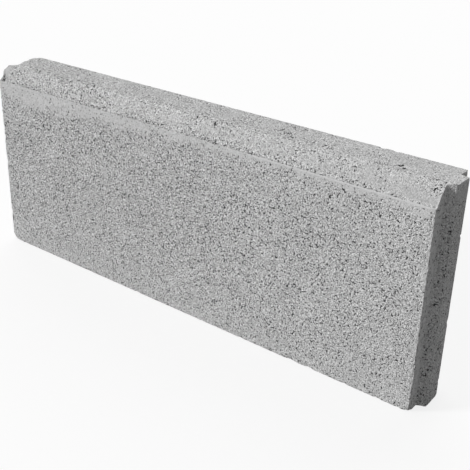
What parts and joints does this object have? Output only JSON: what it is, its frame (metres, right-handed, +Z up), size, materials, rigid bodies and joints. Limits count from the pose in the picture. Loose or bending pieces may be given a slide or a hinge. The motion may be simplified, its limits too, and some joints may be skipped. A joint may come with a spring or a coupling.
{
  "type": "concrete kerb stone",
  "caption": "Slim grey concrete garden kerb, standing on edge, with a bevelled front top edge, a tongue on one end and a matching groove in the other.",
  "frame": {"origin": "middle of the base, halfway between the two end faces", "axes": "+X along the kerb towards its tongue, -Y out of the bevelled front face, +Z up"},
  "size_m": [0.5075, 0.05, 0.2],
  "materials": {
    "concrete": "open-grained pressed concrete, grey, matt"
  },
  "bodies": {
    "root": {"kerb_stone": "concrete"}
  },
  "joints": []
}
